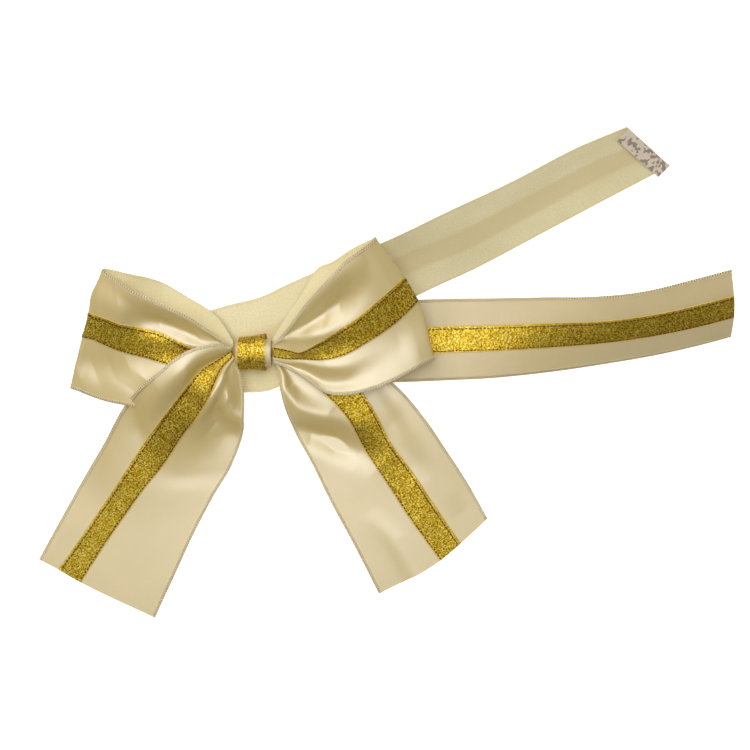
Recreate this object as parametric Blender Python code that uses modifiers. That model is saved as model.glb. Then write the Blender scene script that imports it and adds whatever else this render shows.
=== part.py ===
"""A pre-made gift bow: a satin ribbon with a gold stripe, tied by a short wrap and glued to a band
that is folded in two behind it. One arm of the band ends in a strip of double-sided tape.

The bow lies face up. X runs along the band, Y towards the loops' upper edges, and Z towards the face.
The origin is on the underside of the band, beneath the middle of the knot. Stations are in
millimetres.
"""

from math import cos, pi, sin

import bmesh
import bpy
import numpy as np
from mathutils import Vector

MM = 0.001

# Driving dimensions, in millimetres.
BOW_WIDTH = 63.0  # the bow's ribbon, edge to edge
BAND_WIDTH = 38.0  # the band's ribbon, edge to edge
GOLD_WIDTH = 12.0  # the metallic ribbon stitched along both
SATIN = 0.3  # thickness of the satin
LUREX = 0.25  # thickness of the metallic ribbon
GAP = 0.3  # clearance between touching pieces
TAPE_WIDTH = 6.0
TAPE_THICKNESS = 0.2
LINER_WIDTH = 7.0
LINER_THICKNESS = 0.15
KNOT_CENTRE = Vector((0.0, -0.4, 10.4))
KNOT_HALF = Vector((0.0, 8.1, 6.1))  # outside of the gold wrap, across Y and Z
GOLD_WRAP_LENGTH = 12.7  # along X
UNDER_WRAP_LENGTH = 17.8
WAIST_LENGTH = 17.2
THREAD_DIAMETER = 0.5
GLUE_RADIUS = 5.0
GLUE_BOTTOM, GLUE_TOP = 3.1, 3.8

# Sampling of the lofts.
ROWS_PER_SPAN = 3
ACROSS_PLAIN = 2  # columns between an edge and the stripe
ACROSS_STRIPE = 2
ROUND_STEPS = 32
FOLD_STEPS = 12

# The stripe's centre, as a share of the ribbon's width from edge A.
STRIPE_LEFT_TAIL = 0.31
STRIPE_LOOPS = 0.44
STRIPE_RIGHT_TAIL = 0.38
STRIPE_BAND = 0.50

# A station is a ribbon's edge A, its edge B, and how far the middle stands off the chord between
# them, towards the gold side. Edge A is the loops' upper edge and the tails' outer edge.
LEFT_TAIL = (
    ((-9.6, 2, 14), (-9.6, -5, 13), 0),
    ((-18, 3, 19), (-9.6, -10.5, 12), 1.5),
    ((-26, 1, 22), (-7, -15, 11), 2),
    ((-36, -5, 22.5), (-5, -21, 9.5), 2.5),
    ((-47, -13, 20), (-4, -28, 7.5), 2),
    ((-56, -20, 16), (-7, -38, 5), 0),
    ((-68, -38, 8), (-14, -55, 2.5), 1),
    ((-82, -60, 3), (-24, -79, 1), 1),
    ((-94, -81, 1), (-36, -102, 0.6), 0.5),
    ((-106, -102, 0.6), (-48, -127, 0.6), 0.2),
)
LEFT_TAIL_HINGE = 5  # the station where the tail folds

RIGHT_TAIL = (
    ((9.6, 1, 10), (9.6, -5, 9), 0),
    ((25, 0, 9), (12, -13, 9), 0.5),
    ((43, -3, 8), (14, -25, 8), 1),
    ((60, -10, 7), (17, -35, 6), 1),
    ((71, -19, 5.5), (21, -46, 4.5), 0),
    ((84, -37, 3.5), (30, -64, 2), 1),
    ((98, -56, 1.8), (42, -84, 1), 0.8),
    ((111, -80, 0.6), (59, -115, 0.6), 0.2),
)
RIGHT_TAIL_HINGE = 4

LEFT_LOOP = (
    ((-9.6, 3, 12), (-9.6, -4, 11), 0),
    ((-17, 7, 16), (-15, -10, 11.5), 1),
    ((-26, 13, 20.5), (-24, -16, 12), 1.5),
    ((-35, 20, 24.5), (-36, -21, 12), 2),
    ((-54, 29, 28.5), (-64, -24, 9), 2.5),
    ((-65, 36, 27.5), (-84, -18, 5.5), 1.5),
    ((-67.5, 37, 25.5), (-87.5, -17, 3.8), 0.5),
    ((-65, 37, 23), (-84, -17, 2.3), 0),
    ((-59, 36, 20), (-75, -18, 1.6), 0),
    ((-41, 32, 12.5), (-48, -18, 1.8), 0),
    ((-21, 21, 9), (-21, -10, 5), 0),
    ((-9.6, 4, 7.4), (-9.6, -3, 6.6), 0),
)
RIGHT_LOOP = (
    ((9.6, 3, 12.2), (9.6, -4, 11.2), 0),
    ((15, 9, 15.5), (17, -10, 11.5), 1),
    ((23, 18, 20), (25, -15, 12), 1.5),
    ((32, 28, 24.5), (37, -19, 12), 2),
    ((48, 43, 30.5), (62, -13, 11), 2.5),
    ((57, 51, 30.5), (83, -3, 7.5), 1.5),
    ((58.5, 52, 28.8), (86.5, -1, 5.8), 0.5),
    ((56, 51, 26.5), (82, 0, 4.2), 0),
    ((49, 49, 24), (72, -2, 3.6), 0),
    ((32, 38, 15.5), (43, -9, 4.2), 0),
    ((17, 18, 9.8), (18, -6, 6), 0),
    ((9.6, 4, 7.6), (9.6, -3, 6.8), 0),
)

# The arms lie on edge B and curl up to edge A, so their middle sags: away from the gold side on the
# lower arm, whose gold faces up, and towards it on the upper arm, whose gold faces down.
LOWER_ARM = (
    ((-25, 19, 0.15), (-16, -19, 0.15), 0),
    ((2, 20, 0.15), (3, -18, 0.15), 0),
    ((41, 23, 0.15), (42, -15, 0.15), 0),
    ((94, 26, 0.15), (95, -13, 0.15), 0),
    ((112, 26, 2.5), (114, -12, 0.15), -0.6),
    ((137, 26, 9), (142, -9, 0.15), -2.2),
    ((162, 26, 14.5), (169, -5, 0.2), -3.3),
    ((182, 28, 18), (192, -1, 0.5), -3.5),
    ((203, 33, 19.5), (214, 4, 1), -3.5),
    ((222, 38, 19.5), (234, 10, 1.5), -3.5),
)
LOWER_ARM_HINGE = 3

UPPER_ARM = (
    ((-25, 19, 2.6), (-16, -19, 2.6), 0),
    ((1, 26, 2.8), (7, -13, 2.6), 0),
    ((17, 33, 4.5), (28, -2, 2.6), 0.3),
    ((44, 44, 11), (54, 14, 2.3), 2),
    ((69, 54, 19), (79, 28, 1.7), 3),
    ((91, 64, 24), (106, 39, 1), 0),
    ((120, 78, 24.5), (137, 54, 1), 1.5),
    ((150, 93, 25.5), (171, 75, 1.6), 1),
    ((172.3, 102.2, 26.2), (198, 89, 4), 0),
)
UPPER_ARM_HINGE = 5

# How far each swinging strip's hinge stands above its ribbon, so that the gold clears itself.
HINGE_RISE = SATIN / 2 + GAP + LUREX


def make_material(name, colour, roughness, metallic=0.0):
    material = bpy.data.materials.new(name)
    material.use_nodes = True
    shader = material.node_tree.nodes["Principled BSDF"]
    shader.inputs["Base Color"].default_value = (*colour, 1.0)
    shader.inputs["Roughness"].default_value = roughness
    shader.inputs["Metallic"].default_value = metallic
    material.diffuse_color = (*colour, 1.0)
    return material


def sampled(stations):
    """Rows of edge A, edge B and rise, on a smooth curve through the stations."""
    knots = np.array([(*a, *b, rise) for a, b, rise in stations], float)
    middle = (knots[:, 0:3] + knots[:, 3:6]) / 2
    spans = np.linalg.norm(np.diff(middle, axis=0), axis=1)
    slopes = np.diff(knots, axis=0) / spans[:, None]
    weights = (spans[1:] / (spans[1:] + spans[:-1]))[:, None]
    tangents = np.vstack((slopes[:1], slopes[:-1] * weights + slopes[1:] * (1 - weights), slopes[-1:]))
    rows = []
    for i, span in enumerate(spans):
        for t in np.arange(ROWS_PER_SPAN) / ROWS_PER_SPAN:
            rows.append(
                (2 * t**3 - 3 * t**2 + 1) * knots[i]
                + (t**3 - 2 * t**2 + t) * span * tangents[i]
                + (3 * t**2 - 2 * t**3) * knots[i + 1]
                + (t**3 - t**2) * span * tangents[i + 1]
            )
    rows.append(knots[-1])
    return np.array(rows)


def cut(rows, first=0, last=None):
    """The rows from one station to another, each end drawn in by half the clearance."""
    end = len(rows) if last is None else last * ROWS_PER_SPAN + 1
    part = rows[first * ROWS_PER_SPAN : end].copy()
    for here, inner in ((0, 1), (-1, -2)):
        step = part[inner] - part[here]
        part[here] += step * (GAP / 2) / np.linalg.norm(step[0:3] + step[3:6]) * 2
    return part


def columns(width, centre):
    """Shares of the width where the grid has its columns, and which of them bound the stripe."""
    half = GOLD_WIDTH / width / 2
    start, end = centre - half, centre + half
    shares = np.concatenate(
        (
            np.linspace(0, start, ACROSS_PLAIN + 1)[:-1],
            np.linspace(start, end, ACROSS_STRIPE + 1)[:-1],
            np.linspace(end, 1, ACROSS_PLAIN + 1),
        )
    )
    return shares, slice(ACROSS_PLAIN, ACROSS_PLAIN + ACROSS_STRIPE + 1)


def front_of(points, side):
    """Unit vectors out of the gold side at each grid point."""
    along = np.gradient(points, axis=0)
    across = np.gradient(points, axis=1)
    out = np.cross(along, across) * side
    return out / np.linalg.norm(out, axis=2)[:, :, None]


def surface(rows, shares, side):
    """Grid points of a ribbon's middle surface, and the unit vectors out of its gold side."""
    u = shares[None, :, None]
    flat = rows[:, None, 0:3] * (1 - u) + rows[:, None, 3:6] * u
    middle = rows[:, 6][:, None, None] * 4 * u * (1 - u)
    points = flat + front_of(flat, side) * middle
    points[:, :, 2] = np.maximum(points[:, :, 2], SATIN / 2)  # nothing sinks below Z = 0
    return points, front_of(points, side)


def add_mesh(name, builder, material, collection):
    mesh = bpy.data.meshes.new(name)
    builder.to_mesh(mesh)
    builder.free()
    mesh.materials.append(material)
    mesh.shade_smooth()
    obj = bpy.data.objects.new(name, mesh)
    collection.objects.link(obj)
    return obj


def thicken(obj, thickness):
    shell = obj.modifiers.new("Thickness", "SOLIDIFY")
    shell.thickness = thickness * MM
    shell.offset = 0.0
    obj.data.set_sharp_from_angle(angle=pi / 4)


def loft(name, points, thickness, material, collection):
    """A sheet through a grid of points, which can have unlike sections."""
    builder = bmesh.new()
    grid = [[builder.verts.new(Vector(p) * MM) for p in row] for row in points]
    for row, following in zip(grid, grid[1:]):
        for i in range(len(row) - 1):
            builder.faces.new((row[i], row[i + 1], following[i + 1], following[i]))
    obj = add_mesh(name, builder, material, collection)
    thicken(obj, thickness)
    return obj


def striped_ribbon(names, rows, width, centre, side, materials, collection):
    """A satin ribbon and the gold ribbon stitched along it, as two sheets a clearance apart."""
    shares, stripe = columns(width, centre)
    points, front = surface(rows, shares, side)
    satin = loft(names[0], points, SATIN, materials["satin"], collection)
    lift = SATIN / 2 + GAP + LUREX / 2
    gold_points = (points + front * lift)[:, stripe]
    gold = loft(names[1], gold_points, LUREX, materials["gold"], collection)
    return [satin, gold]


def oval_sleeve(name, length, inset, thickness, material, collection):
    """An oval sleeve round the knot, its outside inset from the gold wrap's outside."""
    builder = bmesh.new()
    bmesh.ops.create_cone(
        builder, segments=ROUND_STEPS, radius1=1, radius2=1, depth=length * MM, cap_ends=False
    )
    half = (KNOT_HALF - Vector((0, 1, 1)) * (inset + thickness / 2)) * MM
    for vert in builder.verts:
        x, y, z = vert.co
        vert.co = (z, y * half.y, -x * half.z)
    bmesh.ops.recalc_face_normals(builder, faces=builder.faces)
    obj = add_mesh(name, builder, material, collection)
    obj.location = KNOT_CENTRE * MM
    thicken(obj, thickness)
    return obj


def waist(name, inset, material, collection):
    """The pleated bundle of bow ribbon inside the wraps, as a solid oval bar."""
    builder = bmesh.new()
    bmesh.ops.create_cone(
        builder, segments=ROUND_STEPS, radius1=1, radius2=1, depth=WAIST_LENGTH * MM, cap_ends=True
    )
    half = (KNOT_HALF - Vector((0, 1, 1)) * inset) * MM
    for vert in builder.verts:
        x, y, z = vert.co
        vert.co = (z, y * half.y, -x * half.z)
    obj = add_mesh(name, builder, material, collection)
    obj.location = KNOT_CENTRE * MM
    return obj


def tie_thread(name, inset, material, collection):
    """The thread that cinches the bundle, as one oval turn of a round cord."""
    curve = bpy.data.curves.new(name, "CURVE")
    curve.dimensions = "3D"
    curve.bevel_depth = THREAD_DIAMETER / 2 * MM
    curve.bevel_resolution = 2
    half = (KNOT_HALF - Vector((0, 1, 1)) * (inset + THREAD_DIAMETER / 2)) * MM
    turn = curve.splines.new("POLY")
    turn.points.add(ROUND_STEPS - 1)
    for i, point in enumerate(turn.points):
        angle = 2 * pi * i / ROUND_STEPS
        point.co = (0, half.y * cos(angle), half.z * sin(angle), 1)
    turn.use_cyclic_u = True
    curve.materials.append(material)
    obj = bpy.data.objects.new(name, curve)
    collection.objects.link(obj)
    obj.location = KNOT_CENTRE * MM
    return obj


def glue_dot(name, material, collection):
    """A flattened dot of glue between the band and the underside of the knot."""
    builder = bmesh.new()
    height = (GLUE_TOP - GLUE_BOTTOM) * MM
    bmesh.ops.create_cone(
        builder,
        segments=ROUND_STEPS,
        radius1=GLUE_RADIUS * MM,
        radius2=GLUE_RADIUS * 0.7 * MM,
        depth=height,
        cap_ends=True,
    )
    obj = add_mesh(name, builder, material, collection)
    obj.location = (0, 0, GLUE_BOTTOM * MM + height / 2)
    return obj


def fold_rows():
    """The half turn that joins the two arms of the band, around their shared crease."""
    (a, b, _), (upper_a, _, _) = LOWER_ARM[0], UPPER_ARM[0]
    crease = (Vector(b) - Vector(a)).normalized()
    outward = crease.cross(Vector((0, 0, 1)))
    outward = outward if outward.x < 0 else -outward
    radius = (upper_a[2] - a[2]) / 2
    rows = []
    for i in range(FOLD_STEPS + 1):
        angle = pi * i / FOLD_STEPS
        shift = outward * radius * sin(angle) + Vector((0, 0, radius * (1 - cos(angle))))
        shift += outward * GAP
        rows.append((*(Vector(a) + shift), *(Vector(b) + shift), 0))
    return np.array(rows)


def end_strip(name, width, lift, thickness, material, collection):
    """A strip across the end of the upper arm, on the plain side, a given height above it."""
    (a0, b0, _), (a1, b1, _) = UPPER_ARM[-2:]
    end_a, end_b = Vector(a1), Vector(b1)
    inward = ((Vector(a0) + Vector(b0)) - (end_a + end_b)).normalized()
    across = (end_b - end_a).normalized()
    inward = (inward - across * inward.dot(across)).normalized()
    plain_side = inward.cross(across)
    plain_side = plain_side if plain_side.z > 0 else -plain_side
    corners = []
    for distance in (GAP, GAP + width):
        for end, trim in ((end_a, 1), (end_b, -1)):
            corners.append(end + inward * distance + across * trim + plain_side * lift)
    return loft(name, [corners[:2], corners[2:]], thickness, material, collection), corners


def chord_middle(station, rise):
    """A point above the middle of a station's chord."""
    return (Vector(station[0]) + Vector(station[1])) / 2 + Vector((0, 0, rise))


def joint_empty(name, position, members, parent, collection):
    """An empty on a joint's axis, holding the pieces that swing about it."""
    empty = bpy.data.objects.new(name, None)
    collection.objects.link(empty)
    empty.empty_display_size = 5 * MM
    origin = parent.matrix_world.translation if parent else Vector((0, 0, 0))
    empty.parent = parent
    empty.location = Vector(position) * MM - origin
    bpy.context.view_layer.update()
    for member in members:
        member.parent = empty
        member.location = member.location - Vector(position) * MM
    return empty


def main():
    for obj in list(bpy.data.objects):
        bpy.data.objects.remove(obj, do_unlink=True)
    collection = bpy.data.collections.new("Gift bow")
    bpy.context.scene.collection.children.link(collection)
    materials = {
        "satin": make_material("Satin", (0.72, 0.62, 0.42), 0.38),
        "gold": make_material("Gold lurex", (0.50, 0.33, 0.05), 0.35, 0.8),
        "thread": make_material("Thread", (0.75, 0.68, 0.52), 0.7),
        "glue": make_material("Glue", (0.80, 0.74, 0.60), 0.4),
        "tape": make_material("Tape", (0.78, 0.72, 0.60), 0.5),
        "liner": make_material("Liner", (0.72, 0.66, 0.62), 0.5),
    }

    # The bow's ribbon, cut where it folds so that each stretch can swing.
    left_tail, right_tail = sampled(LEFT_TAIL), sampled(RIGHT_TAIL)
    stretches = (
        ("left_throat", cut(left_tail, 0, LEFT_TAIL_HINGE), STRIPE_LEFT_TAIL, 1),
        ("left_tail", cut(left_tail, LEFT_TAIL_HINGE), STRIPE_LEFT_TAIL, 1),
        ("left_loop", cut(sampled(LEFT_LOOP)), STRIPE_LOOPS, 1),
        ("right_throat", cut(right_tail, 0, RIGHT_TAIL_HINGE), STRIPE_RIGHT_TAIL, -1),
        ("right_tail", cut(right_tail, RIGHT_TAIL_HINGE), STRIPE_RIGHT_TAIL, -1),
        ("right_loop", cut(sampled(RIGHT_LOOP)), STRIPE_LOOPS, -1),
    )
    pieces = {}
    for name, rows, centre, side in stretches:
        names = ("bow_" + name, "gold_" + name)
        pieces[name] = striped_ribbon(names, rows, BOW_WIDTH, centre, side, materials, collection)

    # The band's ribbon. The lower arm shows its gold side and the upper arm its plain side.
    lower, upper = sampled(LOWER_ARM), sampled(UPPER_ARM)
    stretches = (
        ("lower_run", cut(lower, 0, LOWER_ARM_HINGE), -1),
        ("long_arm", cut(lower, LOWER_ARM_HINGE), -1),
        ("upper_run", cut(upper, 0, UPPER_ARM_HINGE), 1),
        ("tape_arm", cut(upper, UPPER_ARM_HINGE), 1),
        ("fold", fold_rows(), 1),
    )
    for name, rows, side in stretches:
        names = ("band_" + name, "gold_" + name)
        pieces[name] = striped_ribbon(
            names, rows, BAND_WIDTH, STRIPE_BAND, side, materials, collection
        )

    # The knot, from the outside in: gold wrap, satin wrap, thread, pleated bundle.
    oval_sleeve("knot_gold_wrap", GOLD_WRAP_LENGTH, 0, LUREX, materials["gold"], collection)
    inset = LUREX + GAP
    oval_sleeve("knot_under_wrap", UNDER_WRAP_LENGTH, inset, SATIN, materials["satin"], collection)
    inset += SATIN + GAP
    tie_thread("tie_thread", inset, materials["thread"], collection)
    inset += THREAD_DIAMETER + GAP
    waist("bow_waist", inset, materials["satin"], collection)
    glue_dot("glue_dot", materials["glue"], collection)

    # The tape and its liner, across the end of the upper arm.
    tape_lift = SATIN / 2 + GAP + TAPE_THICKNESS / 2
    tape, _ = end_strip(
        "adhesive_tape", TAPE_WIDTH, tape_lift, TAPE_THICKNESS, materials["tape"], collection
    )
    liner_lift = tape_lift + TAPE_THICKNESS / 2 + GAP + LINER_THICKNESS / 2
    liner, liner_corners = end_strip(
        "release_liner", LINER_WIDTH, liner_lift, LINER_THICKNESS, materials["liner"], collection
    )

    # Empties on the joints' axes.
    members = pieces["left_loop"] + pieces["left_throat"]
    left_side = joint_empty("left_side_axis", (-9.6, 0, 14.6), members, None, collection)
    members = pieces["right_loop"] + pieces["right_throat"]
    right_side = joint_empty("right_side_axis", (9.6, 0, 13), members, None, collection)
    where = chord_middle(LEFT_TAIL[LEFT_TAIL_HINGE], HINGE_RISE)
    joint_empty("left_tail_axis", where, pieces["left_tail"], left_side, collection)
    where = chord_middle(RIGHT_TAIL[RIGHT_TAIL_HINGE], HINGE_RISE)
    joint_empty("right_tail_axis", where, pieces["right_tail"], right_side, collection)
    where = chord_middle(LOWER_ARM[LOWER_ARM_HINGE], HINGE_RISE)
    joint_empty("long_arm_axis", where, pieces["long_arm"], None, collection)
    where = chord_middle(UPPER_ARM[UPPER_ARM_HINGE], SATIN / 2)
    tape_arm = joint_empty("tape_arm_axis", where, pieces["tape_arm"] + [tape], None, collection)
    where = (liner_corners[2] + liner_corners[3]) / 2
    joint_empty("liner_axis", where, [liner], tape_arm, collection)


main()
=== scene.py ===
"""The looks of the pre-made gift bow: satin ribbon with a metallic stripe, tied over a folded band."""
from math import cos, pi, sin

import bpy
import numpy as np
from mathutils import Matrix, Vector


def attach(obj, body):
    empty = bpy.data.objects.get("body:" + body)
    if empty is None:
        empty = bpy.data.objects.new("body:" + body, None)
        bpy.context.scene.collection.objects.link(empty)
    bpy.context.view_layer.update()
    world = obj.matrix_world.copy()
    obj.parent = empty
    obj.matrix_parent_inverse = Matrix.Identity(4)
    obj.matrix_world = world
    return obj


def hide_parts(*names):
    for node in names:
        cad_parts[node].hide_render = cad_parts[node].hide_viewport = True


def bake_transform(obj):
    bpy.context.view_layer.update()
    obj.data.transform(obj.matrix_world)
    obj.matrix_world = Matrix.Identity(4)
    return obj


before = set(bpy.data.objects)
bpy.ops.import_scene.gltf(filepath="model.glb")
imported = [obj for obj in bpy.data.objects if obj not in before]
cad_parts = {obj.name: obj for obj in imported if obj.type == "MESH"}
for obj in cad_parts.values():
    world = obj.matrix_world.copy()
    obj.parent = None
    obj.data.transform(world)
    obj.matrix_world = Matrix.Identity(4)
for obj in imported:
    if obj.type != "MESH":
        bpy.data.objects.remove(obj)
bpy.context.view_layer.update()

# Lengths are in millimetres of the real object, unless a name or a comment says otherwise.
MM = 0.001
BOW_WIDTH, BAND_WIDTH, GOLD_WIDTH = 63.0, 38.0, 12.0
SATIN, LUREX = 0.3, 0.2  # thicknesses
GOLD_GAP = 0.06  # from the satin's face to the metallic ribbon
STITCH_LIFT = 0.05  # from the metallic ribbon's face to the stitches' middle line
STITCH_PITCH, STITCH_LENGTH, STITCH_ARCH = 1.75, 1.6, 0.12
GOLD_YARN = dict(period=1.1, size=1.3, inside=0.85, half=0.16)
SELVAGE_YARN = dict(period=1.25, size=1.45, inside=1.3, half=0.2)
SELVAGE_LIFT = 0.2  # of the selvage yarn, from the satin's middle surface
BOW_STEP, BAND_STEP = 0.7, 1.0  # between the rows of a sheet

# The stripe's centre, as a share of the ribbon's width from edge A.
LEFT_TAIL_STRIPE, RIGHT_TAIL_STRIPE, LOOP_STRIPE = 0.31, 0.38, 0.44

# Columns between edge A and the stripe; there are twice as many on its other side.
TAIL_COLUMNS, LOOP_COLUMNS, BAND_COLUMNS = 40, 36, 12

# Stations along each stretch of ribbon, in millimetres: edge A, the stripe's two edges, edge B.
LEFT_TAIL = (
    ((-9.5, 2.5, 14.5), (-9.5, 0, 14.2), (-8.5, -2, 13.8), (-7.5, -4.5, 12.5)),
    ((-15.5, 4, 17.5), (-17, -4.5, 15.5), (-12.5, -6.5, 15), (-6, -8.5, 12)),
    ((-25, 2, 20.5), (-22, -7.5, 17.5), (-15, -11, 16.5), (-5, -12, 11.3)),
    ((-33.5, -2.5, 21.5), (-28, -14.5, 19), (-18.5, -19, 17), (-4, -19.5, 10.5)),
    ((-42.5, -9.5, 21), (-33.5, -21, 16.5), (-24.5, -28, 13), (-4, -29.5, 10.8)),
    ((-52, -17, 18), (-44, -33.5, 11), (-34, -40, 7.5), (-5.5, -39.2, 3)),
    ((-61.5, -27, 10), (-52.5, -44, 6), (-43, -53, 3.8), (-11.5, -54.6, 1.2)),
    ((-71, -43, 5), (-63, -59.5, 3.5), (-52, -64, 2.8), (-19.5, -68, 1.2)),
    ((-80.5, -58, 1.8), (-72, -72.5, 1.8), (-61.5, -77, 1.6), (-28.5, -85, 0.9)),
    ((-92.5, -79, 0.7), (-83, -88.5, 1), (-72, -92, 0.9), (-38.5, -106.5, 0.7)),
    ((-103.5, -99, 0.4), (-94, -104, 0.5), (-83.5, -110, 0.5), (-48, -127, 0.4)),
)
RIGHT_TAIL = (
    ((10, 1, 9.5), (10.5, 0, 9.5), (10.5, -1.5, 9.5), (10.5, -4.5, 9.5)),
    ((24.5, 0.5, 9), (22.5, -4.5, 9), (19, -7.5, 9), (12.5, -10, 9.5)),
    ((43.5, -3.5, 8), (38, -10, 8), (27.5, -14, 8.5), (13, -16.5, 9)),
    ((57.5, -8, 6.5), (48.5, -15.5, 7), (36.5, -22, 8), (15.5, -27, 7.5)),
    ((68.5, -16.5, 5.5), (57, -27.5, 6), (45, -31.5, 6), (19, -37.5, 4.5)),
    ((81, -31, 4), (65, -43, 4), (53, -46.5, 3), (27, -52, 1.8)),
    ((92, -47, 2.5), (75, -56.5, 2.2), (63.5, -62.5, 1.6), (36.5, -71.5, 1)),
    ((102, -62.5, 1.2), (86, -73, 1.2), (74.5, -79.5, 1), (46.5, -90, 0.7)),
    ((111.5, -79.5, 0.5), (98.5, -91.5, 0.5), (89, -99.5, 0.5), (59.5, -115.5, 0.4)),
)
RIGHT_LOOP = (
    ((9.5, 3.5, 12.5), (9.5, 2.5, 12), (9.5, -2, 11.5), (9.5, -4.5, 11)),
    ((15.5, 9.5, 15.5), (17, 1.2, 13), (17, -3, 12.3), (17.5, -8, 11)),
    ((22.5, 18, 19), (22.5, 0, 14.6), (23, -3, 13.4), (26, -13, 12.5)),
    ((29.5, 26, 23), (30, 3.5, 17), (32.5, -3.5, 15), (35, -19, 14)),
    ((37, 34, 26.5), (39, 9, 18.8), (42.5, -1.5, 15.2), (46, -19.5, 15)),
    ((44.5, 41.5, 29), (49, 15, 20), (53.5, 4.5, 15.5), (58.5, -16.5, 15)),
    ((51, 46, 30.5), (59, 23.5, 21), (65, 12, 16), (71.5, -10.5, 14)),
    ((55.5, 49.5, 29.5), (67, 30.5, 21), (73, 19, 15.6), (81, -5, 12)),
    ((57.5, 52, 27.5), (71, 34.5, 19), (77.5, 24, 14), (85.5, -2.5, 8.5)),
    ((56.5, 51.5, 25.5), (68.5, 33, 17), (75, 22, 13), (82.5, -1.5, 4.5)),
    ((48.5, 48, 23), (60, 26.5, 14), (65.5, 16, 10.5), (71, -3.5, 3.6)),
    ((38.5, 42, 19), (46, 22, 12), (49.5, 11.5, 9), (54.5, -6.5, 4)),
    ((29, 37, 15), (31, 17.5, 10.5), (32.5, 7.5, 8.5), (36, -9, 4.5)),
    ((22, 25.5, 12), (23, 13, 9.5), (23, 6, 8), (24.5, -7.5, 5.5)),
    ((16.5, 18, 9.5), (16, 8, 8.3), (16, 2.5, 7.5), (16.5, -5.5, 6)),
    ((8.5, 5.5, 7.6), (8.5, 1.5, 7.4), (8.5, -1, 7.2), (9, -3.5, 6.8)),
)
LEFT_LOOP = (
    ((-9, 3, 12), (-9, 1, 11.8), (-9, -1, 11.5), (-9, -3.5, 11)),
    ((-16, 7.5, 15), (-14, 1, 13), (-14, -2, 12.5), (-14.5, -8, 11.2)),
    ((-25.5, 14.5, 19.5), (-22.5, 0.5, 14.5), (-24.5, -6.5, 13.5), (-24.5, -16, 10.6)),
    ((-34.5, 20, 24), (-33.5, 5, 17), (-39, -5.5, 14.5), (-38, -22.5, 10.4)),
    ((-43.5, 24.5, 26.5), (-42.5, 8.5, 18.5), (-49, -2.5, 14.5), (-50.5, -25.5, 11)),
    ((-52, 28, 27.5), (-52, 11, 19), (-59.5, 0, 14.6), (-63.5, -24, 11)),
    ((-59.5, 32.5, 26.5), (-61, 13.5, 19.5), (-67.5, 3, 14.4), (-74, -21.5, 8.5)),
    ((-64, 35.5, 25.5), (-67.5, 16, 18.6), (-74, 6, 13.8), (-82, -18.5, 6.5)),
    ((-67, 37.5, 24), (-74.5, 18.5, 16.5), (-79, 7.5, 13), (-87, -16.5, 4.5)),
    ((-66.5, 38, 23), (-73.5, 19, 15), (-77.5, 8.5, 11), (-85, -16, 2.3)),
    ((-56, 36, 20), (-65, 19, 12.5), (-69, 8.5, 8.5), (-75, -17, 1.6)),
    ((-46, 34, 15.5), (-50.5, 17, 10), (-53, 7, 7), (-57, -18, 1.6)),
    ((-40.5, 32, 12.5), (-40, 15.5, 8.5), (-41, 6, 6.5), (-43, -17.5, 2.4)),
    ((-30.5, 26, 10.5), (-30, 13, 8), (-30, 5.5, 6.8), (-31.5, -13, 4)),
    ((-17, 17, 9), (-18, 9.5, 7.5), (-19, 4, 7), (-20, -7.5, 5)),
    ((-9.5, 5.5, 7.4), (-9.5, 2, 7.2), (-9.5, -0.5, 7), (-9.5, -3.5, 6.8)),
)

# The band's stations are edge A, edge B, and how far the middle stands off them towards the gold side.
LOWER_ARM = (
    ((-25, 19, 0.15), (-16, -19, 0.15), 0),
    ((2, 20, 0.15), (3, -16.2, 0.15), 0),
    ((41, 23, 0.15), (42, -15, 0.15), 0),
    ((94, 26, 0.15), (95, -13, 0.15), 0),
    ((112, 26, 2.5), (114, -12, 0.15), -0.6),
    ((137, 26, 9), (142, -9, 0.15), -1.6),
    ((162, 26, 14.5), (169, -5, 0.2), -2.2),
    ((182, 28, 18), (192, -1, 0.5), -2.2),
    ((203, 33, 19.5), (214, 4, 1), -3.2),
    ((222, 38, 19.5), (228, 7.8, 1.4), -3.4),
)
UPPER_ARM = (
    ((-25, 19, 2.6), (-16, -19.4, 2.6), 0),
    ((-13, 22.6, 2.7), (-6, -19, 2.6), 0),
    ((1, 26, 2.8), (8, -17.7, 2.6), 0),
    ((17, 33, 4.5), (29, -4, 2.6), 0.3),
    ((44, 44, 11), (54, 14, 2.3), 2),
    ((69, 54, 19), (79, 28, 1.7), 3),
    ((91, 64, 24), (106, 40.6, 1), 0),
    ((120, 77.5, 24.5), (137, 57, 1), 1),
    ((150, 93, 25.5), (171, 75, 1.6), 1),
    ((172.3, 102.2, 26.2), (198, 89, 4), 0),
)

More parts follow.
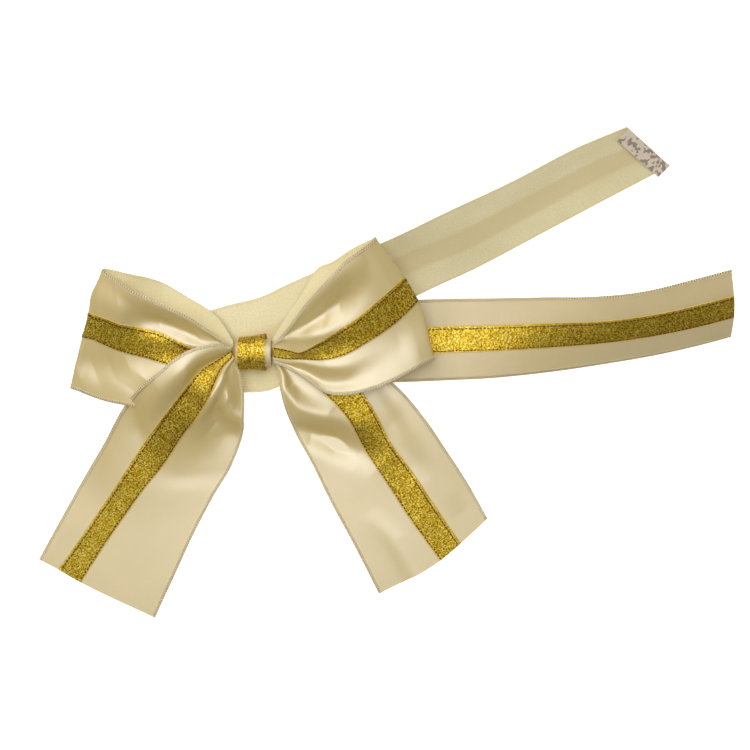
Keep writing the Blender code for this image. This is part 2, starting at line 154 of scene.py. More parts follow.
# Ridges are lines of (along, across, height, half-width), across from edge A. The band has none.
RIDGES = {
    "left_tail": (
        ((4, 4, 0.8, 4), (18, 6, 2.4, 5.5), (32, 6, 2.4, 6), (46, 5, 0, 6)),
        ((0, 13, -0.8, 3), (12, 14, -2.2, 4), (26, 14.5, -2.6, 4.5), (38, 14, -1.4, 5), (50, 12, 0, 5)),
        ((50, -1, -1.4, 6), (54, 8, -1.4, 6)),
        ((2, 29, 0.8, 3.6), (10, 28, 2.2, 3.8), (20, 26.5, 3.2, 3.6), (30, 26.5, 2.8, 3.6), (37, 27, 0, 4)),
        ((13, 31, 1.4, 4.5), (19, 38, 2.4, 5), (24, 48, 2.8, 5), (30, 61, 2.0, 5)),
        ((20, 33, -1.6, 3.6), (27, 34, -3.8, 5), (32, 42, -4.2, 6.5), (38, 54, -2.4, 7), (42, 63, -0.8, 7)),
    ),
    "right_tail": (
        (
            (2, 54, 0.6, 8), (14, 56, 2.6, 9), (24, 58, 4.2, 10),
            (33, 52, 4.2, 9.5), (42, 38, 3, 8), (50, 30, 1, 6),
        ),
        ((43, 63, -2, 7.5), (50, 54, -4, 8), (57, 43, -4.2, 8), (65, 33, -1.8, 7.5), (74, 28, 0, 8)),
        ((93, 46, 0, 6), (110, 42, 0.9, 6), (127, 43, 1.2, 6)),
        ((42, 14, -0.5, 5), (57, 13.5, -1.2, 6), (70, 15, -1.0, 6), (82, 16, -0.6, 6), (92, 16, 0, 6)),
        (
            (40, 5, 0.5, 5), (51, 5, 0.9, 6), (66, 5, 0.8, 6),
            (84, 6, 0.6, 6), (104, 8, 0.4, 6), (115, 10, 0, 6),
        ),
    ),
    "left_loop": (
        ((6, 3, 0.6, 3), (20, 2, 1.8, 4), (36, 2, 2.4, 5), (52, 3, 1.2, 6), (62, 4, 0, 6)),
        ((20, 12, -1, 3.5), (30, 15.5, -3, 4.6), (39, 17, -4, 5.2), (48, 17.5, -2, 5.5), (56, 18, 0, 6)),
        ((48, 12, 0, 8), (58, 13, 2, 8), (68, 14, 2, 8)),
        ((3, 14, 0.6, 2.6), (14, 18, 1.2, 3), (24, 21, 1.4, 3), (34, 23, 0, 3)),
        ((46, 38, 0, 8), (54, 43, -1.6, 8), (62, 48, -1.6, 8), (69, 52, 0, 8)),
        ((14, 38, 0.5, 5), (28, 40, 1.8, 7), (36, 46, 2.2, 8), (42, 54, 1.0, 8)),
    ),
    "right_loop": (
        ((8, 1, 0.4, 3), (20, 1.5, 1.6, 4), (34, 2, 2.4, 5), (48, 3, 1.2, 6), (60, 4, 0, 6)),
        (
            (10, 7, -0.8, 3), (20, 9.5, -2.8, 3.8), (29, 11.5, -4.8, 5),
            (38, 12.5, -4.8, 5.6), (48, 13.5, -2, 6), (60, 14, 0, 6),
        ),
        ((4, 6, 0.4, 2.5), (14, 11, 0.9, 3), (23, 16, 1.6, 3.4), (30, 19, 1.6, 3.6), (38, 22, 0, 4)),
        ((14, 40, 0.4, 4), (25, 39, 1.5, 6), (34, 40, 2.0, 8), (46, 41, 1, 9), (58, 42, 0, 9)),
        ((4, 47, -0.4, 5), (12, 51, -1.0, 7), (20, 53, -1.5, 8), (30, 53, -1.2, 8), (40, 54, 0, 8)),
        ((12, 61, 0.4, 4), (30, 61, 0.7, 5), (50, 61, 0, 5)),
    ),
}


def smooth_path(stations, step):
    """Rows on a smooth curve through the stations, about a step apart."""
    knots = np.array(stations, float)
    flat = knots.reshape(len(knots), -1)
    spans = np.linalg.norm(np.diff(knots.mean(axis=1), axis=0), axis=1)
    slopes = np.diff(flat, axis=0) / spans[:, None]
    weights = (spans[1:] / (spans[1:] + spans[:-1]))[:, None]
    inner = slopes[:-1] * weights + slopes[1:] * (1 - weights)
    tangents = np.vstack((slopes[:1], inner, slopes[-1:]))
    rows = []
    for i, span in enumerate(spans):
        count = max(2, int(round(span / step)))
        for t in np.arange(count) / count:
            rows.append(
                (2 * t**3 - 3 * t**2 + 1) * flat[i]
                + (t**3 - 2 * t**2 + t) * span * tangents[i]
                + (3 * t**2 - 2 * t**3) * flat[i + 1]
                + (t**3 - t**2) * span * tangents[i + 1]
            )
    rows.append(flat[-1])
    return np.array(rows).reshape(-1, *knots.shape[1:])


def ridge_field(along, across, lines):
    """Height of the ridges at each grid point; each line's nearest segment counts."""
    total = np.zeros(np.broadcast(along, across).shape)
    for line in lines:
        line = np.array(line, float)
        best = np.full(total.shape, 1e9)
        height = np.zeros(total.shape)
        for p, q in zip(line, line[1:]):
            d = q[:2] - p[:2]
            t = np.clip(((along - p[0]) * d[0] + (across - p[1]) * d[1]) / (d @ d), 0, 1)
            distance = np.hypot(along - p[0] - t * d[0], across - p[1] - t * d[1])
            here = distance / (p[3] + t * (q[3] - p[3]))
            value = (p[2] + t * (q[2] - p[2])) * np.exp(-(here**2))
            height = np.where(here < best, value, height)
            best = np.minimum(best, here)
        total += height
    return total


class Strip:
    """A stretch of ribbon as a surface over (row, share of the width)."""

    def __init__(self, rails, shares, width, side, lines):
        self.rails, self.shares, self.width, self.side, self.lines = rails, shares, width, side, lines
        middle = rails.mean(axis=1)
        self.along = np.concatenate(([0], np.cumsum(np.linalg.norm(np.diff(middle, axis=0), axis=1))))

    def raw(self, v):
        """Points across each row on a smooth curve through the rails."""
        nodes = np.array(self.shares)
        rails = self.rails
        gaps = np.diff(nodes)
        slopes = np.diff(rails, axis=1) / gaps[None, :, None]
        share = (gaps[1:] / (gaps[1:] + gaps[:-1]))[None, :, None]
        inner = slopes[:, :-1] * share + slopes[:, 1:] * (1 - share)
        tangents = np.concatenate((slopes[:, :1], inner, slopes[:, -1:]), axis=1)
        k = np.clip(np.searchsorted(nodes, v, side="right") - 1, 0, len(gaps) - 1)
        t = ((v - nodes[k]) / gaps[k])[None, :, None]
        gap = gaps[k][None, :, None]
        return (
            (2 * t**3 - 3 * t**2 + 1) * rails[:, k]
            + (t**3 - 2 * t**2 + t) * gap * tangents[:, k]
            + (3 * t**2 - 2 * t**3) * rails[:, k + 1]
            + (t**3 - t**2) * gap * tangents[:, k + 1]
        )

    def normals(self, points):
        """Unit normals on the gold side."""
        out = np.cross(np.gradient(points, axis=0), np.gradient(points, axis=1)) * self.side
        length = np.linalg.norm(out, axis=2, keepdims=True)
        return out / np.maximum(length, 1e-9)

    def base(self, v):
        """The middle surface with its ridges, never lower than the table lets the satin lie."""
        points = self.raw(v)
        if self.lines:
            out = self.normals(points)
            height = ridge_field(self.along[:, None], v[None, :] * self.width, self.lines)
            points = points + out * height[:, :, None]
        points[:, :, 2] = np.maximum(points[:, :, 2], SATIN / 2)
        return points

    def at(self, v, lift=0.0):
        """Points at these shares of the width, lifted off the middle surface towards the gold side."""
        v = np.asarray(v, float)
        step = 0.004  # of the width, for the slope across
        wide = np.unique(np.clip(np.concatenate((v - step, v, v + step)), 0, 1))
        points = self.base(wide)
        out = self.normals(points)
        pick = np.searchsorted(wide, v - 1e-9)
        return points[:, pick] + out[:, pick] * lift, out[:, pick]


def new_mesh(name, points, faces, uvs, materials, face_material):
    """A mesh from quads, with a point and a UV for each vertex; both end up in metres."""
    mesh = bpy.data.meshes.new(name)
    mesh.vertices.add(len(points))
    mesh.vertices.foreach_set("co", (np.asarray(points, np.float32) * MM).ravel())
    faces = np.asarray(faces, np.int32)
    mesh.loops.add(faces.size)
    mesh.loops.foreach_set("vertex_index", faces.ravel())
    mesh.polygons.add(len(faces))
    mesh.polygons.foreach_set("loop_start", np.arange(0, faces.size, 4, dtype=np.int32))
    mesh.polygons.foreach_set("loop_total", np.full(len(faces), 4, np.int32))
    mesh.polygons.foreach_set("material_index", np.asarray(face_material, np.int32))
    mesh.polygons.foreach_set("use_smooth", np.full(len(faces), True))
    layer = mesh.uv_layers.new(name="UVMap")
    layer.data.foreach_set("uv", (np.asarray(uvs, np.float32)[faces.ravel()] * MM).ravel())
    for material in materials:
        mesh.materials.append(material)
    mesh.update()
    mesh.validate()
    obj = bpy.data.objects.new(name, mesh)
    bpy.context.scene.collection.objects.link(obj)
    return obj


def grid_faces(rows, columns, start=0, flip=False):
    """Quads over a grid of points that are numbered row by row."""
    i, j = np.meshgrid(np.arange(rows - 1), np.arange(columns - 1), indexing="ij")
    a = start + i * columns + j
    quads = np.stack((a, a + 1, a + columns + 1, a + columns), axis=-1).reshape(-1, 4)
    return quads[:, ::-1] if flip else quads


def sheet_mesh(name, strip, v, lift, thickness, materials):
    """A thick sheet over the strip, lifted off its middle surface."""
    front, _ = strip.at(v, lift + thickness / 2)
    back, _ = strip.at(v, lift - thickness / 2)
    uv = np.stack(np.broadcast_arrays(strip.along[:, None], v[None, :] * strip.width), axis=-1)
    return shell(name, front, back, uv, strip.side < 0, materials)


def shell(name, front, back, uv, flip, materials):
    """Two grids of points joined by a rim into one closed sheet."""
    rows, columns = front.shape[:2]
    under = rows * columns
    i, j = np.arange(rows), np.arange(columns)
    quads = [grid_faces(rows, columns, 0, not flip), grid_faces(rows, columns, under, flip)]
    kinds = [np.zeros(len(quads[0])), np.ones(len(quads[1]))]
    borders = (
        (i * columns, False),
        (i * columns + columns - 1, True),
        (j, True),
        (under - columns + j, False),
    )
    for index, turned in borders:
        a, b = index[:-1], index[1:]
        ring = np.stack((a, b, b + under, a + under), axis=1)
        quads.append(ring if turned != flip else ring[:, ::-1])
        kinds.append(np.full(len(ring), 2))
    points = np.vstack((front.reshape(-1, 3), back.reshape(-1, 3)))
    uvs = np.vstack((uv.reshape(-1, 2), uv.reshape(-1, 2)))
    obj = new_mesh(name, points, np.vstack(quads), uvs, materials, np.concatenate(kinds))
    obj.data.set_sharp_from_angle(angle=1.1)  # radians; the rim turns about a right angle
    return obj


def resampled(path, out, step):
    """A path, its normals and the distance run, at even steps."""
    run = np.concatenate(([0], np.cumsum(np.linalg.norm(np.diff(path, axis=0), axis=1))))
    count = max(2, int(run[-1] / step) + 1)
    at = np.linspace(0, run[-1], count)
    points = np.stack([np.interp(at, run, path[:, k]) for k in range(3)], axis=1)
    normal = np.stack([np.interp(at, run, out[:, k]) for k in range(3)], axis=1)
    normal /= np.linalg.norm(normal, axis=1, keepdims=True)
    return points, normal, at


def sweep(path, out, half_wide, half_high, sides=6):
    """Rings of an oval cross-section along a path, as one open tube with its ends drawn in."""
    tangent = np.gradient(path, axis=0)
    tangent /= np.maximum(np.linalg.norm(tangent, axis=1, keepdims=True), 1e-9)
    across = np.cross(tangent, out)
    across /= np.maximum(np.linalg.norm(across, axis=1, keepdims=True), 1e-9)
    up = np.cross(across, tangent)
    angle = 2 * pi * np.arange(sides) / sides
    rings = (
        path[:, None]
        + across[:, None] * (np.cos(angle) * half_wide)[None, :, None]
        + up[:, None] * (np.sin(angle) * half_high)[None, :, None]
    )
    rings[0] = path[0] + (rings[0] - path[0]) * 0.3
    rings[-1] = path[-1] + (rings[-1] - path[-1]) * 0.3
    return rings


def tubes(name, sweeps, material):
    """All the sweeps as one mesh."""
    points, quads, start = [], [], 0
    for rings in sweeps:
        rows, sides = rings.shape[:2]
        i, j = np.meshgrid(np.arange(rows - 1), np.arange(sides), indexing="ij")
        a, b = start + i * sides + j, start + i * sides + (j + 1) % sides
        quads.append(np.stack((a, b, b + sides, a + sides), axis=-1).reshape(-1, 4))
        points.append(rings.reshape(-1, 3))
        start += rows * sides
    points, quads = np.vstack(points), np.vstack(quads)
    return new_mesh(name, points, quads, points[:, :2], [material], np.zeros(len(quads)))


def stitch_row(strip, share, lift):
    """Short running stitches along one edge of the stripe."""
    points, out = strip.at([share], lift)
    path, normal, run = resampled(points[:, 0], out[:, 0], 0.25)
    found = []
    for start in np.arange(0.6, run[-1] - STITCH_LENGTH, STITCH_PITCH):
        pick = np.flatnonzero((run >= start) & (run <= start + STITCH_LENGTH))
        if len(pick) < 4:
            continue
        arch = np.sin(np.linspace(0, pi, len(pick)))[:, None] ** 0.5
        found.append(sweep(path[pick] + normal[pick] * arch * STITCH_ARCH, normal[pick], 0.3, 0.16, 5))
    return found


def picot_row(strip, share, lift, outward, period, size, inside, half):
    """A yarn that loops in and out along one edge, starting inside the edge."""
    points, out = strip.at([share], lift)
    path, normal, run = resampled(points[:, 0], out[:, 0], period / 8)
    tangent = np.gradient(path, axis=0)
    tangent /= np.linalg.norm(tangent, axis=1, keepdims=True)
    across = np.cross(normal, tangent) * outward
    wave = np.clip(2.4 * np.sin(2 * pi * run / period) - 0.9, 0, 1)
    return [sweep(path + across * (wave * size - inside)[:, None], normal, half, half * 0.8, 4)]


def band_rails(stations):
    """Four rails across the band: its edges, and the stripe's edges on an arc between them."""
    half = GOLD_WIDTH / BAND_WIDTH / 2
    shares = (0.0, 0.5 - half, 0.5 + half, 1.0)
    knots = np.array([(*a, *b, rise) for a, b, rise in stations], float)
    a, b, rise = knots[:, 0:3], knots[:, 3:6], knots[:, 6]
    along = np.gradient((a + b) / 2, axis=0)
    out = np.cross(along, b - a)
    out /= np.linalg.norm(out, axis=1, keepdims=True)
    return shares, [
        [a[i] * (1 - u) + b[i] * u + out[i] * rise[i] * 4 * u * (1 - u) for u in shares]
        for i in range(len(knots))
    ]


# Materials: every pattern lies in the ribbon's own UV, in metres along and across.


class Nodes:
    """Short names for building a node tree."""

    def __init__(self, name):
        self.material = bpy.data.materials.new(name)
        self.material.use_nodes = True
        self.tree = self.material.node_tree
        self.shader = self.tree.nodes["Principled BSDF"]
        uv = self.tree.nodes.new("ShaderNodeUVMap")
        uv.uv_map = "UVMap"
        split = self.tree.nodes.new("ShaderNodeSeparateXYZ")
        self.link(uv.outputs[0], split.inputs[0])
        self.uv, self.u, self.v = uv.outputs[0], split.outputs[0], split.outputs[1]

    def link(self, source, target):
        self.tree.links.new(source, target)

    def plug(self, value, target):
        """Set a number or a colour, or link another node's output."""
        if isinstance(value, (int, float)):
            target.default_value = value
        elif isinstance(value, tuple):
            target.default_value = (*value, 1.0)
        else:
            self.link(value, target)

    def math(self, operation, a, b=0.0, c=0.0):
        node = self.tree.nodes.new("ShaderNodeMath")
        node.operation = operation
        for value, target in zip((a, b, c), node.inputs):
            self.plug(value, target)
        return node.outputs[0]

    def step(self, value, low, high, to_low=0.0, to_high=1.0):
        node = self.tree.nodes.new("ShaderNodeMapRange")
        node.interpolation_type = "SMOOTHSTEP"
        self.plug(value, node.inputs["Value"])
        for name, number in (("From Min", low), ("From Max", high), ("To Min", to_low), ("To Max", to_high)):
            node.inputs[name].default_value = number
        return node.outputs["Result"]

    def mix(self, factor, a, b):
        node = self.tree.nodes.new("ShaderNodeMix")
        node.data_type = "RGBA"
        self.plug(factor, node.inputs["Factor"])
        self.plug(a, node.inputs[6])
        self.plug(b, node.inputs[7])
        return node.outputs[2]

    def scaled(self, x, y, z=1.0, vector=None):
        node = self.tree.nodes.new("ShaderNodeMapping")
        self.link(vector or self.uv, node.inputs["Vector"])
        node.inputs["Scale"].default_value = (x, y, z)
        return node.outputs[0]

    def noise(self, vector, detail):
        node = self.tree.nodes.new("ShaderNodeTexNoise")
        self.link(vector, node.inputs["Vector"])
        node.inputs["Scale"].default_value = 1.0
        node.inputs["Detail"].default_value = detail
        return node.outputs["Fac"]

    def cells(self, vector):
        """Two random values for each cell."""
        node = self.tree.nodes.new("ShaderNodeTexVoronoi")
        self.link(vector, node.inputs["Vector"])
        node.inputs["Scale"].default_value = 1.0
        split = self.tree.nodes.new("ShaderNodeSeparateColor")
        self.link(node.outputs["Color"], split.inputs[0])
        return split.outputs[0], split.outputs[1]

    def ramp(self, factor, stops):
        node = self.tree.nodes.new("ShaderNodeValToRGB")
        self.plug(factor, node.inputs[0])
        ramp = node.color_ramp
        while len(ramp.elements) < len(stops):
            ramp.elements.new(0.5)
        for element, (position, colour) in zip(ramp.elements, stops):
            element.position = position
            element.color = (*colour, 1.0)
        return node.outputs[0]

    def bump(self, height, distance, strength):
        node = self.tree.nodes.new("ShaderNodeBump")
        node.inputs["Strength"].default_value = strength
        node.inputs["Distance"].default_value = distance
        self.link(height, node.inputs["Height"])
        self.link(node.outputs[0], self.shader.inputs["Normal"])

    def set(self, **values):
        """Set the shader's inputs by name, and give back the material."""
        for name, value in values.items():
            self.plug(value, self.shader.inputs[name.replace("_", " ")])
        return self.material


def srgb(r, g, b):
    """A colour given out of 255, as linear values."""

    def one(c):
        c /= 255
        return c / 12.92 if c <= 0.04045 else ((c + 0.055) / 1.055) ** 2.4

    return (one(r), one(g), one(b))


def selvage(n, width):
    """1 in the woven edges of the ribbon, with the edge yarn's small steps along it."""
    off = n.math("ABSOLUTE", n.math("SUBTRACT", n.v, width * MM / 2))
    edge = n.step(off, (width / 2 - 1.6) * MM, (width / 2 - 1.2) * MM)
    steps = n.math("SINE", n.math("MULTIPLY", n.u, 2 * pi / (1.2 * MM)))
    return edge, n.step(steps, -0.5, 0.5)


def satin_face(name, width, colour, gloss):
    """The glossy face, with a fine grain and darker selvages."""
    n = Nodes(name)
    mottle = n.noise(n.scaled(60, 60), detail=3)
    grain = n.noise(n.scaled(900, 2600), detail=1)
    edge, steps = selvage(n, width)
    base = n.mix(n.step(mottle, 0.35, 0.65), srgb(*colour), srgb(*(c - 4 for c in colour)))
    base = n.mix(n.math("MULTIPLY", n.step(grain, 0.3, 0.7), 0.35), base, srgb(*(c - 12 for c in colour)))
    base = n.mix(n.math("MULTIPLY", edge, n.math("MULTIPLY_ADD", steps, 0.05, 0.8)), base, srgb(132, 106, 60))
    n.bump(grain, 0.00002, 0.5)
    return n.set(Base_Color=base, Roughness=0.47, IOR=gloss, Specular_IOR_Level=1.0)


def satin_reverse(name, width, centre):
    """The matt reverse, where the stripe's stitched seam shows through."""
    n = Nodes(name)
    grain = n.noise(n.scaled(1100, 1400), detail=2)
    cloud = n.noise(n.scaled(40, 60), detail=2)
    edge, steps = selvage(n, width)
    base = n.mix(n.step(cloud, 0.3, 0.7), srgb(239, 229, 190), srgb(233, 222, 180))
    base = n.mix(n.math("MULTIPLY", n.step(grain, 0.35, 0.65), 0.3), base, srgb(205, 190, 145))
    off = n.math("ABSOLUTE", n.math("SUBTRACT", n.v, centre * width * MM))
    seam = n.math("MULTIPLY", n.step(off, 0.0045, 0.0075, 1, 0), 0.55)
    base = n.mix(seam, base, srgb(216, 196, 146))
    base = n.mix(n.math("MULTIPLY", edge, n.math("MULTIPLY", steps, 0.3)), base, srgb(196, 180, 134))
    n.bump(grain, 0.00003, 0.5)
    return n.set(Base_Color=base, Roughness=0.75, Specular_IOR_Level=0.3, Sheen_Weight=0.1)


def lurex(name):
    """Metallic yarn: grains of random tone, and the brightest grains are painted glints."""
    n = Nodes(name)
    coarse, relief = n.cells(n.scaled(2900, 2300))
    fine, _ = n.cells(n.scaled(5600, 4600))
    grain_and_glint_tone = n.math("ADD", n.math("MULTIPLY", coarse, 0.62), n.math("MULTIPLY", fine, 0.38))
    # The top stops of this ramp are painted glints: colour standing in for the sparkle of the metallic yarn.
    base = n.ramp(
        grain_and_glint_tone,
        (
            (0.16, srgb(96, 58, 0)),
            (0.32, srgb(162, 120, 8)),
            (0.52, srgb(210, 170, 28)),
            (0.70, srgb(244, 214, 72)),
            (0.86, srgb(255, 250, 150)),
        ),
    )
    n.bump(n.math("ADD", relief, n.math("MULTIPLY", fine, 0.5)), 0.00012, 0.9)
    return n.set(Base_Color=base, Metallic=0.9, Roughness=0.38, Specular_IOR_Level=0.5)


def plain(name, colour, rough, metallic=0.0):
    """One colour with a fine grain."""
    n = Nodes(name)
    grain = n.noise(n.scaled(2000, 2000), detail=1)
    base = n.mix(n.step(grain, 0.3, 0.7), srgb(*colour), srgb(*(max(0, c - 18) for c in colour)))
    return n.set(Base_Color=base, Roughness=rough, Metallic=metallic)


def in_space(name, colour, dark, rough, scale=900, low=0.45, high=0.6):
    """For CAD nodes, which have no UV: a pattern in the object's own space."""
    n = Nodes(name)
    place = n.tree.nodes.new("ShaderNodeTexCoord").outputs["Object"]
    grain = n.noise(n.scaled(scale, scale, scale, place), detail=1)
    return n.set(Base_Color=n.mix(n.step(grain, low, high), srgb(*colour), srgb(*dark)), Roughness=rough)


bow_face = satin_face("bow satin face", BOW_WIDTH, (210, 186, 113), 2.2)
bow_back = satin_reverse("bow satin reverse", BOW_WIDTH, 0.44)
tail_back = satin_reverse("tail satin reverse", BOW_WIDTH, 0.35)
band_face = satin_face("band satin face", BAND_WIDTH, (208, 190, 144), 1.5)
band_back = satin_reverse("band satin reverse", BAND_WIDTH, 0.5)
rim = plain("cut satin edge", (226, 212, 168), 0.7)
gold_face = lurex("gold lurex with painted glints")
gold_edge = plain("gold edge yarn", (250, 218, 96), 0.45, 0.3)
selvage_yarn = plain("selvage yarn", (240, 226, 184), 0.6)
stitching = plain("stitching thread", (88, 42, 2), 0.95)


def dressed(key, strip, columns, back, face):
    """The satin, the metallic ribbon on it, its stitches and the looped edges; and its length."""
    g0, g1 = strip.shares[1], strip.shares[2]
    edge = 0.45 / strip.width
    v = np.unique(np.concatenate((
        (0, edge, 2 * edge), np.linspace(2 * edge, g0, columns), np.linspace(g0, g1, 14),
        np.linspace(g1, 1 - 2 * edge, columns * 2), (1 - 2 * edge, 1 - edge, 1),
    )))
    satin = sheet_mesh(key + "_satin", strip, v, 0, SATIN, [face, back, rim])
    lift = SATIN / 2 + LUREX / 2 + GOLD_GAP
    gold = sheet_mesh(
        key + "_gold", strip, np.linspace(g0, g1, 22), lift, LUREX, [gold_face, gold_face, gold_edge]
    )
    top = lift + LUREX / 2 + STITCH_LIFT
    near, far = 1.2 / strip.width, 0.6 / strip.width
    rows = stitch_row(strip, g0 + near, top) + stitch_row(strip, g1 - far, top)
    stitches = tubes(key + "_stitches", rows, stitching)
    rows = picot_row(strip, g0, lift, -strip.side, **GOLD_YARN)
    rows += picot_row(strip, g1, lift, strip.side, **GOLD_YARN)
    picots = tubes(key + "_edge_yarn", rows, gold_edge)
    rows = picot_row(strip, 0, SELVAGE_LIFT, -strip.side, **SELVAGE_YARN)
    rows += picot_row(strip, 1, SELVAGE_LIFT, strip.side, **SELVAGE_YARN)
    loops = tubes(key + "_selvage_loops", rows, selvage_yarn)
    return [satin, gold, stitches, picots, loops], float(strip.along[-1])


def bow_strip(key, stations, centre, side):
    """A stretch of the bow's ribbon, its stripe's middle at a share of the width."""
    half = GOLD_WIDTH / BOW_WIDTH / 2
    rails = smooth_path(stations, BOW_STEP)
    return Strip(rails, (0.0, centre - half, centre + half, 1.0), BOW_WIDTH, side, RIDGES[key])


def band_strip(stations, side):
    shares, rails = band_rails(stations)
    return Strip(smooth_path(rails, BAND_STEP), shares, BAND_WIDTH, side, ())


def blended(pieces):
    """Bake each layer's placement into its mesh."""
    for piece in pieces:
        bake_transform(piece)


left_tail, length = dressed(
    "left_tail", bow_strip("left_tail", LEFT_TAIL, LEFT_TAIL_STRIPE, 1), TAIL_COLUMNS, tail_back, bow_face
)
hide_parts("bow_left_throat", "bow_left_tail")
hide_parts("gold_left_throat", "gold_left_tail")
blended(left_tail)

right_tail, length = dressed(
    "right_tail", bow_strip("right_tail", RIGHT_TAIL, RIGHT_TAIL_STRIPE, -1), TAIL_COLUMNS,
    tail_back, bow_face,
)
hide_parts("bow_right_throat", "bow_right_tail")
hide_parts("gold_right_throat", "gold_right_tail")
blended(right_tail)

left_loop, length = dressed(
    "left_loop", bow_strip("left_loop", LEFT_LOOP, LOOP_STRIPE, 1), LOOP_COLUMNS, bow_back, bow_face
)
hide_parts("bow_left_loop")
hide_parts("gold_left_loop")
blended(left_loop)

right_loop, length = dressed(
    "right_loop", bow_strip("right_loop", RIGHT_LOOP, LOOP_STRIPE, -1), LOOP_COLUMNS, bow_back, bow_face
)
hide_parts("bow_right_loop")
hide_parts("gold_right_loop")
blended(right_loop)

# The band: the lower arm starts with the half turn of the fold.
(fold_a, fold_b, _), (over_a, _, _) = LOWER_ARM[0], UPPER_ARM[0]
crease = (Vector(fold_b) - Vector(fold_a)).normalized()
outward = crease.cross(Vector((0, 0, 1)))
outward = outward if outward.x < 0 else -outward
radius = (over_a[2] - fold_a[2]) / 2
turn = []
for angle in np.linspace(pi, 0, 7)[:-1]:
    shift = outward * radius * sin(angle) + Vector((0, 0, radius * (1 - cos(angle))))
    turn.append((tuple(Vector(fold_a) + shift), tuple(Vector(fold_b) + shift), 0))
lower_arm, length = dressed(
    "lower_arm", band_strip(tuple(turn) + LOWER_ARM, -1), BAND_COLUMNS, band_back, band_face
)
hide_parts("band_fold", "band_lower_run", "band_long_arm")
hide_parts("gold_fold", "gold_lower_run", "gold_long_arm")
blended(lower_arm)

upper_arm, length = dressed(
    "upper_arm", band_strip(UPPER_ARM, 1), BAND_COLUMNS, band_back, band_face
)
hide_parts("band_upper_run", "band_tape_arm")
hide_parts("gold_upper_run", "gold_tape_arm")
blended(upper_arm)


# The knot: sleeves round the gathered middle, as rings along X.
def sleeve(name, xs, half_y, half_z, centre_y, centre_z, thickness, materials, wobble, square):
    """An oval sleeve, squarer as square falls below 1; half sizes and centres are arrays along xs."""
    count = 96
    angle = 2 * pi * np.arange(count + 1) / count
    rows = []
    for k, x in enumerate(xs):
        bulge = 1 + wobble * np.cos(5 * angle + 1.3) + wobble * np.sin(9 * angle + 0.4 * k)
        y = centre_y[k] + half_y[k] * np.sign(np.cos(angle)) * np.abs(np.cos(angle)) ** square * bulge
        z = centre_z[k] + half_z[k] * np.sign(np.sin(angle)) * np.abs(np.sin(angle)) ** square * bulge
        rows.append(np.stack((np.full(count + 1, x), y, z), axis=1))
    points = np.array(rows)
    out = np.cross(np.gradient(points, axis=0), np.gradient(points, axis=1))
    out /= np.linalg.norm(out, axis=2, keepdims=True)
    middle = np.array((0, centre_y[0], centre_z[0]))
    if ((points - middle) * out)[:, :, 1:].sum() < 0:
        out = -out
    chords = np.linalg.norm(np.diff(points[len(xs) // 2], axis=0), axis=1)
    around = np.concatenate(([0], np.cumsum(chords)))
    uv = np.stack(np.broadcast_arrays(around[None, :], (xs - xs[0])[:, None]), axis=-1)
    outer, inner = points + out * thickness / 2, points - out * thickness / 2
    return shell(name, outer, inner, uv, True, materials), float(around[-1])


xs = np.linspace(-6.35, 6.35, 30)
s = (xs - xs[0]) / (xs[-1] - xs[0])
gold_wrap, length = sleeve(
    "knot_gold", xs, 7.5 + 1.1 * s + 0.2 * np.cos(2 * pi * s), 5.9 + 0.3 * s,
    -0.6 + 0.8 * s, 10.3 + 0 * s, LUREX, [gold_face, gold_face, gold_edge], 0.004, 1.0,
)
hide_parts("knot_gold_wrap")
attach(gold_wrap, "knot")
xs = np.linspace(-8.9, 8.9, 36)
s = (xs - xs[0]) / (xs[-1] - xs[0])
satin_wrap, length = sleeve(
    "knot_satin", xs, 6.4 + 0.7 * s - 2.2 * (1 - s) ** 6 - 1.2 * s**6,
    5.3 + 0.2 * s - 2.4 * (1 - s) ** 8 - 1.0 * s**6,
    -0.7 + 0.5 * s, 10.2 + 0 * s, SATIN, [bow_face, bow_back, rim], 0.006, 0.85,
)
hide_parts("knot_under_wrap")
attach(satin_wrap, "knot")


# The gathered middle inside the wraps: one bundle of pleats, pinched by the thread.
def bundle(name, length, half_y, half_z, centre, material):
    """A pleated bar along X, thinner in the middle and drawn in at both ends."""
    rows, count, pleats = 40, 176, 11
    angle = 2 * pi * np.arange(count + 1) / count
    found = []
    for x in np.linspace(-length / 2, length / 2, rows):
        pinch = 0.86 + 0.14 * min(1, abs(x) / (length / 2) * 1.6) ** 2
        end = 1 - max(0, abs(x) / (length / 2) - 0.94) / 0.06 * 0.9
        wave = 1 - 0.16 * (0.5 + 0.5 * np.cos(pleats * 2 * angle + 0.15 * x)) ** 2
        y = centre[1] + half_y * pinch * end * wave * np.cos(angle)
        z = centre[2] + half_z * pinch * end * wave * np.sin(angle)
        found.append(np.stack((np.full(count + 1, x), y, z), axis=1))
    points = np.array(found)
    uv = points[:, :, :2].reshape(-1, 2)
    quads = grid_faces(rows, count + 1)
    return new_mesh(name, points.reshape(-1, 3), quads, uv, [material], np.zeros(len(quads)))


middle = bundle("gathered_middle", 16.4, 5.4, 4.0, (0, -0.4, 10.3), bow_face)
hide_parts("bow_waist")
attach(middle, "knot")

# Three turns of the tie thread.
count = 160
angle = np.linspace(0, 6 * pi, count)
ring = np.stack((
    np.linspace(-0.75, 0.75, count), -0.4 + 5.1 * np.cos(angle), 10.3 + 3.85 * np.sin(angle)
), axis=1)
out = np.stack((np.zeros(count), np.cos(angle), np.sin(angle)), axis=1)
turns = tubes("thread_turns", [sweep(ring, out, 0.22, 0.22, 6)], plain("thread", (214, 200, 160), 0.7))
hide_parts("tie_thread")
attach(turns, "knot")

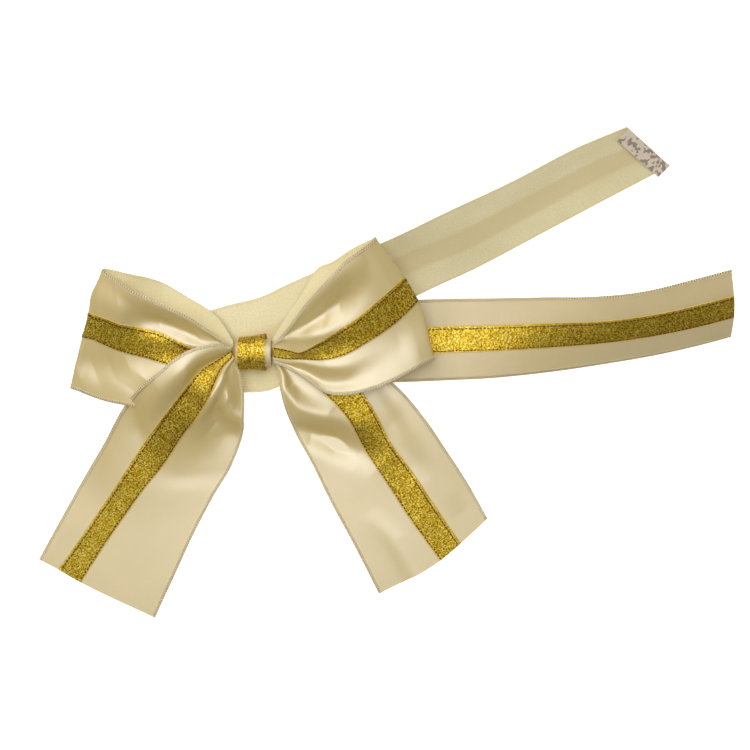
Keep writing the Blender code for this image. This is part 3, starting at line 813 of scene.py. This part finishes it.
# CAD nodes that stay: glue, tape, liner.
paints = {
    "glue_dot": in_space("hot glue", (226, 214, 176), (214, 200, 160), 0.35, 400),
    "adhesive_tape": in_space("adhesive tape", (226, 216, 190), (216, 205, 176), 0.3, 300),
    "release_liner": in_space("release liner", (226, 212, 198), (158, 146, 132), 0.45, 420, 0.53, 0.57),
}
for name, material in paints.items():
    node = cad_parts[name]
    node.data.materials.clear()
    node.data.materials.append(material)

# Floor, light and camera, in metres.
bpy.ops.mesh.primitive_plane_add(size=6, location=(0.06, 0, -0.0006))
floor = bpy.context.object
floor.name = "studio_floor"
paper = bpy.data.materials.new("white paper")
paper.use_nodes = True
shader = paper.node_tree.nodes["Principled BSDF"]
shader.inputs["Base Color"].default_value = (0.5, 0.5, 0.5, 1)
shader.inputs["Roughness"].default_value = 0.9
shader.inputs["Emission Color"].default_value = (1, 1, 1, 1)
shader.inputs["Emission Strength"].default_value = 1.0
floor.data.materials.append(paper)
floor.visible_glossy = False  # so that steep folds don't mirror the white paper


def softbox(name, location, target, size, energy, colour):
    """A rectangular lamp in metres and watts, aimed at its target."""
    light = bpy.data.lights.new(name, "AREA")
    light.shape = "RECTANGLE"
    light.size, light.size_y = size
    light.energy = energy
    light.color = colour
    obj = bpy.data.objects.new(name, light)
    bpy.context.scene.collection.objects.link(obj)
    obj.location = location
    aim = Vector(target) - Vector(location)
    obj.rotation_euler = aim.to_track_quat("-Z", "Y").to_euler()
    return obj


softbox("key", (-0.34, 0.6, 0.7), (0.03, 0, 0), (0.9, 0.45), 3.4, (1.0, 0.985, 0.95))
softbox("top", (0.0, 0.12, 0.95), (0.04, 0, 0), (0.9, 0.65), 5.6, (1.0, 0.995, 0.98))
softbox("fill", (-0.5, -0.55, 0.5), (0, 0, 0), (0.6, 0.4), 0.6, (1.0, 0.95, 0.86)).visible_glossy = False
world = bpy.data.worlds.new("studio")
bpy.context.scene.world = world
world.use_nodes = True
world.node_tree.nodes["Background"].inputs[0].default_value = (1.0, 0.96, 0.85, 1)
world.node_tree.nodes["Background"].inputs[1].default_value = 0.22
bpy.context.scene.view_settings.view_transform = "Standard"

camera = bpy.data.objects.new("camera", bpy.data.cameras.new("camera"))
bpy.context.scene.collection.objects.link(camera)
camera.location = (0.0576, -0.0106, 0.5)  # straight above, metres
camera.data.lens, camera.data.sensor_width = 50, 36
camera.data.clip_start = 0.01
bpy.context.scene.camera = camera
